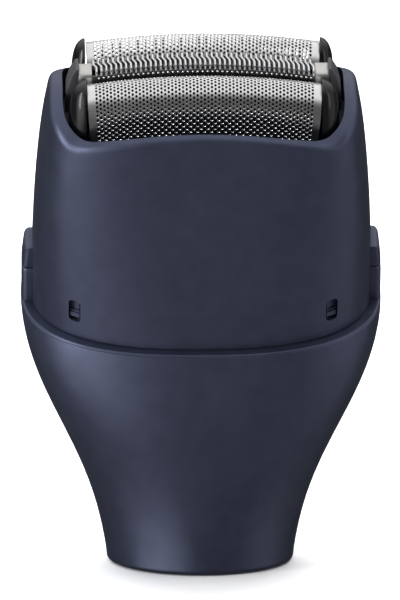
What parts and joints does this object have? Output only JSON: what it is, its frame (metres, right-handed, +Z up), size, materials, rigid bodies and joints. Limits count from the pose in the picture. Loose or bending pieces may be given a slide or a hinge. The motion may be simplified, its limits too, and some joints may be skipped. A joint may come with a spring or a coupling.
{
  "type": "foil shaver head",
  "caption": "Three-blade foil shaver head with a lift-off cover, floating foils, an oscillating drive and a round neck socket.",
  "frame": {"origin": "centre of the neck's bottom rim", "axes": "+Z up along the neck axis, -Y to the front, +X along the width"},
  "size_m": [0.061, 0.0487, 0.0928],
  "materials": {
    "navy_plastic": "fine satin grain",
    "black_gloss_plastic": "glossy moulded",
    "dark_grey_plastic": "matte moulded",
    "grey_plastic": "matte moulded",
    "white_acetal": "smooth",
    "foil_steel": "bright thin foil",
    "blade_steel": "ground",
    "satin_steel": "satin",
    "spring_steel": "polished wire",
    "bush_bronze": "sintered",
    "black_rubber": "soft"
  },
  "bodies": {
    "housing": {"lower_housing": "navy_plastic", "seam_gasket": "black_rubber", "dock_sleeve": "dark_grey_plastic", "snap_ring": "spring_steel", "dock_seal": "black_rubber", "bearing_carrier": "grey_plastic", "carrier_screws": "spring_steel", "lower_bush": "bush_bronze", "upper_bush": "bush_bronze", "shaft_seal": "black_rubber", "chassis": "grey_plastic", "chassis_screws": "spring_steel", "deck": "dark_grey_plastic", "front_guide_rod": "blade_steel", "rear_guide_rod": "blade_steel", "front_boot": "black_rubber", "rear_boot": "black_rubber", "button_guides": "dark_grey_plastic", "latch_leaves": "spring_steel", "left_button_spring": "spring_steel", "right_button_spring": "spring_steel"},
    "drive": {"drive_shaft": "blade_steel", "drive_coupling": "white_acetal", "retaining_clip": "spring_steel", "rocker_arm": "white_acetal", "front_drive_pin": "blade_steel", "rear_drive_pin": "blade_steel"},
    "front_carriage": {"front_oscillator": "white_acetal", "comb_fork": "white_acetal", "front_blade_spring": "spring_steel"},
    "rear_carriage": {"rear_oscillator": "white_acetal", "rear_blade_spring": "spring_steel"},
    "front_blade": {"front_blade_carrier": "dark_grey_plastic", "front_blade_pack": "blade_steel"},
    "rear_blade": {"rear_blade_carrier": "dark_grey_plastic", "rear_blade_pack": "blade_steel"},
    "cover": {"upper_cover": "navy_plastic", "cover_liner": "navy_plastic", "latch_bars": "dark_grey_plastic", "foil_cassette": "dark_grey_plastic", "front_foil_springs": "spring_steel", "rear_foil_springs": "spring_steel", "slit_springs": "spring_steel"},
    "front_foil_unit": {"front_foil": "foil_steel", "front_foil_holder": "black_gloss_plastic"},
    "rear_foil_unit": {"rear_foil": "foil_steel", "rear_foil_holder": "black_gloss_plastic"},
    "slit_unit": {"slit_blade": "foil_steel", "slit_end_caps": "satin_steel", "slit_carrier": "dark_grey_plastic"},
    "comb": {"slit_comb": "blade_steel", "comb_springs": "spring_steel"},
    "left_release": {"left_button": "navy_plastic"},
    "right_release": {"right_button": "navy_plastic"}
  },
  "joints": [
    {"name": "drive_rock", "type": "hinge", "parent": "housing", "child": "drive", "pos_m": [0, 0, 0.02], "axis": [0, 0, 1], "range_deg": [-10, 10]},
    {"name": "front_carriage_slide", "type": "slide", "parent": "housing", "child": "front_carriage", "axis": [1, 0, 0], "range_m": [-0.00104, 0.00104]},
    {"name": "rear_carriage_slide", "type": "slide", "parent": "housing", "child": "rear_carriage", "axis": [1, 0, 0], "range_m": [-0.00106, 0.00106]},
    {"name": "cover_lift_off", "type": "slide", "parent": "housing", "child": "cover", "axis": [0, -0.3746, 0.9272], "range_m": [0, 0.04], "deforming": ["latch_leaves"]},
    {"name": "front_foil_float", "type": "slide", "parent": "cover", "child": "front_foil_unit", "axis": [0, 0.3746, -0.9272], "range_m": [0, 0.0012], "stiffness_N_per_m": 400, "deforming": ["front_foil_springs", "front_blade_spring"]},
    {"name": "rear_foil_float", "type": "slide", "parent": "cover", "child": "rear_foil_unit", "axis": [0, 0.3746, -0.9272], "range_m": [0, 0.0012], "stiffness_N_per_m": 400, "deforming": ["rear_foil_springs", "rear_blade_spring"]},
    {"name": "slit_float", "type": "slide", "parent": "cover", "child": "slit_unit", "axis": [0, 0.3746, -0.9272], "range_m": [0, 0.0012], "stiffness_N_per_m": 400, "deforming": ["slit_springs"]},
    {"name": "slit_comb_slide", "type": "slide", "parent": "slit_unit", "child": "comb", "axis": [1, 0, 0], "range_m": [-0.00106, 0.00106]},
    {"name": "front_blade_float", "type": "slide", "parent": "front_carriage", "child": "front_blade", "axis": [0, 0.3746, -0.9272], "range_m": [0, 0.0012]},
    {"name": "rear_blade_float", "type": "slide", "parent": "rear_carriage", "child": "rear_blade", "axis": [0, 0.3746, -0.9272], "range_m": [0, 0.0012]},
    {"name": "left_button_press", "type": "slide", "parent": "housing", "child": "left_release", "axis": [1, 0, 0], "range_m": [0, 0.001], "stiffness_N_per_m": 900, "deforming": ["left_button_spring"]},
    {"name": "right_button_press", "type": "slide", "parent": "housing", "child": "right_release", "axis": [-1, 0, 0], "range_m": [0, 0.001], "stiffness_N_per_m": 900, "deforming": ["right_button_spring"]}
  ],
  "couplings": [
    {"joint": "drive_rock", "follows": "front_carriage_slide", "rad_per_m": 166.67},
    {"joint": "rear_carriage_slide", "follows": "front_carriage_slide", "ratio": -1},
    {"joint": "slit_comb_slide", "follows": "front_carriage_slide", "ratio": 1},
    {"joint": "front_blade_float", "follows": "front_foil_float", "ratio": 1},
    {"joint": "rear_blade_float", "follows": "rear_foil_float", "ratio": 1}
  ]
}
